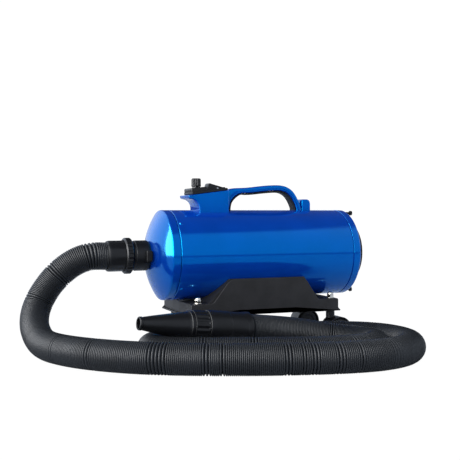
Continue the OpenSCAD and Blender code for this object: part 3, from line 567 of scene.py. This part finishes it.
makePiece("handle_anchor_block", [slab(outline, [0.5, 3, 3, 3, 3, 0.5], 26, 2, steps=4)], "frame",
          finishes["blue_enamel"], ["handle_anchor"])
print("handle: bar, grip, anchor")

# Cradle: two side plates with soft edges
cradleLook = {"lift": 63, "deck": 88, "plateTop": 135, "arch": 73, "length": 320, "wall": 4, "edge": 1.2,
              "middle": 22, "rim": 5}
half, rim = cradleLook["length"] / 2, cradleLook["rim"]
lift, deck, high, arch = (cradleLook[k] for k in ("lift", "deck", "plateTop", "arch"))
outline = np.array([
    (-half - rim, lift), (-half - rim, lift + 2.5), (-half, lift + 6), (-half, deck), (-115, deck),
    (-79, high), (83, high), (114, deck), (half, deck), (half, lift + 6),
    (half + rim, lift + 2.5), (half + rim, lift), (86, lift), (68, arch), (-65, arch),
    (-82, lift)]) + (cradleLook["middle"], 0)
cornerR = [1, 1, 3, 3, 6, 13, 13, 6, 3, 3, 1, 1, 4, 6, 6, 4]
for name, node in (("cradle_side_near", "cradle_plate_near"), ("cradle_side_far", "cradle_plate_far")):
    low, upper = boxOf(node)
    makePiece(name, [slab(outline, cornerR, cradleLook["wall"], cradleLook["edge"],
                          (low[1] + upper[1]) / 2)],
              "frame", finishes["cradle_black"], [node])

# Acorn nuts: a washer, a hexagon 7.6 mm to its corners, and a cap = 8 + 5.8 sin a high, 6.3 cos a out
nutLook = {"fromEdge": 8.5, "washerR": 8.4, "cornerR": 7.6, "capR": 6.3, "capRise": 5.8, "axisGap": 0.01}
nutLow, nutHigh = boxOf("acorn_nuts")
fromEdge, gap, capR = nutLook["fromEdge"], nutLook["axisGap"], nutLook["capR"]
stems = [(x, y) for x in (nutLow[0] + fromEdge, nutHigh[0] - fromEdge)
         for y in (nutLow[1] + fromEdge, nutHigh[1] - fromEdge)]
washer = rounded([(0, gap), (0, nutLook["washerR"]), (1.4, nutLook["washerR"]), (1.4, gap)],
                 [0, 0.4, 0.4, 0])
hexagonal = rounded([(1.3, gap), (1.3, 7.4), (2, nutLook["cornerR"]), (7.2, nutLook["cornerR"]), (7.8, 6.9),
                     (7.9, gap)], [0, 0.2, 0.3, 0.3, 0.4, 0])
bulge = np.linspace(0, np.pi / 2, 12)
dome = np.concatenate([[(7.5, gap), (7.5, capR)],
                       np.stack([8 + nutLook["capRise"] * np.sin(bulge), capR * np.cos(bulge) + gap], -1)])
makePiece("nickel_acorn_nuts", [
    lathe(shape, 60, (x, y, nutLow[2]), (0, 0, 1), (1, 0, 0), poles=True, hexUpTo=limit)
    for x, y in stems for shape, limit in ((washer, 0), (hexagonal, 99), (dome, 0))],
    "frame", finishes["nickel"], ["acorn_nuts"], crease=30)

# Caster wheels: a crowned tread and a recessed hub face on the outer side
wheelLook = {"width": 12, "crown": 0.5, "hub": 14.5, "recess": 1.6, "bore": 3.1}
for tag in ("nl", "nr", "fl", "fr"):
    low, high = boxOf("caster_wheels_" + tag)
    middle, r, w = (low + high) / 2, (high[2] - low[2]) / 2, wheelLook["width"]
    hub, recess = wheelLook["hub"], wheelLook["recess"]
    profile = rounded([(0, wheelLook["bore"]), (0, r - 2.2), (1.8, r - wheelLook["crown"]), (w / 2, r),
                       (w - 1.8, r - wheelLook["crown"]), (w, r - 2.2), (w, hub), (w - recess, hub - 1),
                       (w - recess, 6), (w, 5), (w, wheelLook["bore"])],
                      [0.3, 1, 1.2, 2, 1.2, 1, 0.6, 0.6, 0.6, 0.6, 0.3])
    makePiece("caster_tyres_" + tag, [
        lathe(profile, 96, (middle[0], middle[1] + side * (high[1] - low[1] - 2 * w) / 2, middle[2]),
              (0, side, 0)) for side in (-1, 1)], "wheels_" + tag, finishes["soft_rubber"],
        ["caster_wheels_" + tag])
print("cradle: plates, nuts, wheels")

# Studio: a pale floor on a white sweep, bright in front up to 54 degrees, dark overhead, brighter
# on the outlet side, where a soft box stands
studioLook = {"floor": "e8e9ea", "air": "e6f0ff", "white": 1.05, "shadowShare": 0.06, "bright": 1.0,
              "dim": 0.12, "left": 1.0, "frontTop": 0.81, "backTop": 0.26, "leftTop": 0.9,
              "boxPower": 170.0}
mesh = bpy.data.meshes.new("studio_floor")
mesh.from_pydata([(-5, -3, 0), (5, -3, 0), (5, 3, 0), (-5, 3, 0)], [], [(0, 1, 2, 3)])
floor = bpy.data.objects.new("studio_floor", mesh)
bpy.context.scene.collection.objects.link(floor)
paper = bpy.data.materials.new("paperSweep")     # matte paper, lit evenly enough to leave a faint shadow
paper.use_nodes = True
tree = paper.node_tree
tree.nodes.clear()
matte = put(tree, "ShaderNodeBsdfDiffuse", {"Color": colour(studioLook["floor"])})
lit = put(tree, "ShaderNodeEmission", {"Color": (1, 1, 1, 1), "Strength": studioLook["white"]})
seen = put(tree, "ShaderNodeLightPath").outputs["Is Camera Ray"]
share = put(tree, "ShaderNodeMath", {0: seen, 1: 1 - studioLook["shadowShare"]}, operation="MULTIPLY")
sweep = put(tree, "ShaderNodeMixShader", {0: share.outputs[0], 1: matte.outputs[0], 2: lit.outputs[0]})
put(tree, "ShaderNodeOutputMaterial", {"Surface": sweep.outputs[0]})
mesh.materials.append(paper)

world = bpy.data.worlds.new("studio_air")
bpy.context.scene.world = world
world.use_nodes = True
air = world.node_tree
air.nodes.clear()
direction = put(air, "ShaderNodeTexCoord").outputs["Generated"]
towards = put(air, "ShaderNodeSeparateXYZ", {"Vector": direction}).outputs
top = put(air, "ShaderNodeMapRange", {"Value": towards["Y"], "From Min": -0.15, "From Max": 0.25,
                                      "To Min": studioLook["frontTop"], "To Max": studioLook["backTop"]})
leftTop = put(air, "ShaderNodeMapRange", {"Value": towards["X"], "From Min": 0.2, "From Max": 0.0,
                                          "To Min": 0.0, "To Max": studioLook["leftTop"]})
top = put(air, "ShaderNodeMath", {0: top.outputs[0], 1: leftTop.outputs[0]}, operation="MAXIMUM")
below = put(air, "ShaderNodeMath", {0: top.outputs[0], 1: towards["Z"]}, operation="SUBTRACT")
lower = put(air, "ShaderNodeMapRange", {"Value": below.outputs[0], "From Min": -0.03, "From Max": 0.05},
            interpolation_type="SMOOTHSTEP")
above = put(air, "ShaderNodeMapRange", {"Value": towards["Z"], "From Min": -0.004, "From Max": 0.004})
lowBand = put(air, "ShaderNodeMath", {0: lower.outputs[0], 1: above.outputs[0]}, operation="MULTIPLY")
side = put(air, "ShaderNodeMapRange", {"Value": towards["X"], "From Min": 0.1, "From Max": -0.35,
                                       "To Min": studioLook["bright"],
                                       "To Max": studioLook["bright"] + studioLook["left"]})
strength = put(air, "ShaderNodeMath", {0: lowBand.outputs[0], 1: side.outputs[0], 2: studioLook["dim"]},
               operation="MULTIPLY_ADD")
studioLight = put(air, "ShaderNodeBackground", {
    "Color": colour(studioLook["air"]), "Strength": strength.outputs[0]})
white = put(air, "ShaderNodeBackground", {"Color": (1, 1, 1, 1), "Strength": studioLook["white"]})
seen = put(air, "ShaderNodeLightPath").outputs["Is Camera Ray"]
mixed = put(air, "ShaderNodeMixShader", {0: seen, 1: studioLight.outputs[0], 2: white.outputs[0]})
put(air, "ShaderNodeOutputWorld", {"Surface": mixed.outputs[0]})


def softBox(name, place, target, width, height, power):
    data = bpy.data.lights.new(name, "AREA")
    data.shape = "RECTANGLE"
    data.size, data.size_y, data.energy = width, height, power
    light = bpy.data.objects.new(name, data)
    bpy.context.scene.collection.objects.link(light)
    light.location = place
    light.visible_diffuse = False       # it only gives the highlight on the outlet end
    away = np.array(place) - np.array(target)
    turnZ = np.arctan2(away[1], away[0]) + np.pi / 2
    light.rotation_euler = (np.arctan2(np.hypot(away[0], away[1]), away[2]), 0, turnZ)


softBox("soft_box_left", (-2.1, -0.35, 0.95), (-0.2, 0, 0.18), 2.4, 1.8, studioLook["boxPower"])
bpy.context.scene.view_settings.view_transform = "Standard"
print("studio: floor, air, soft box")
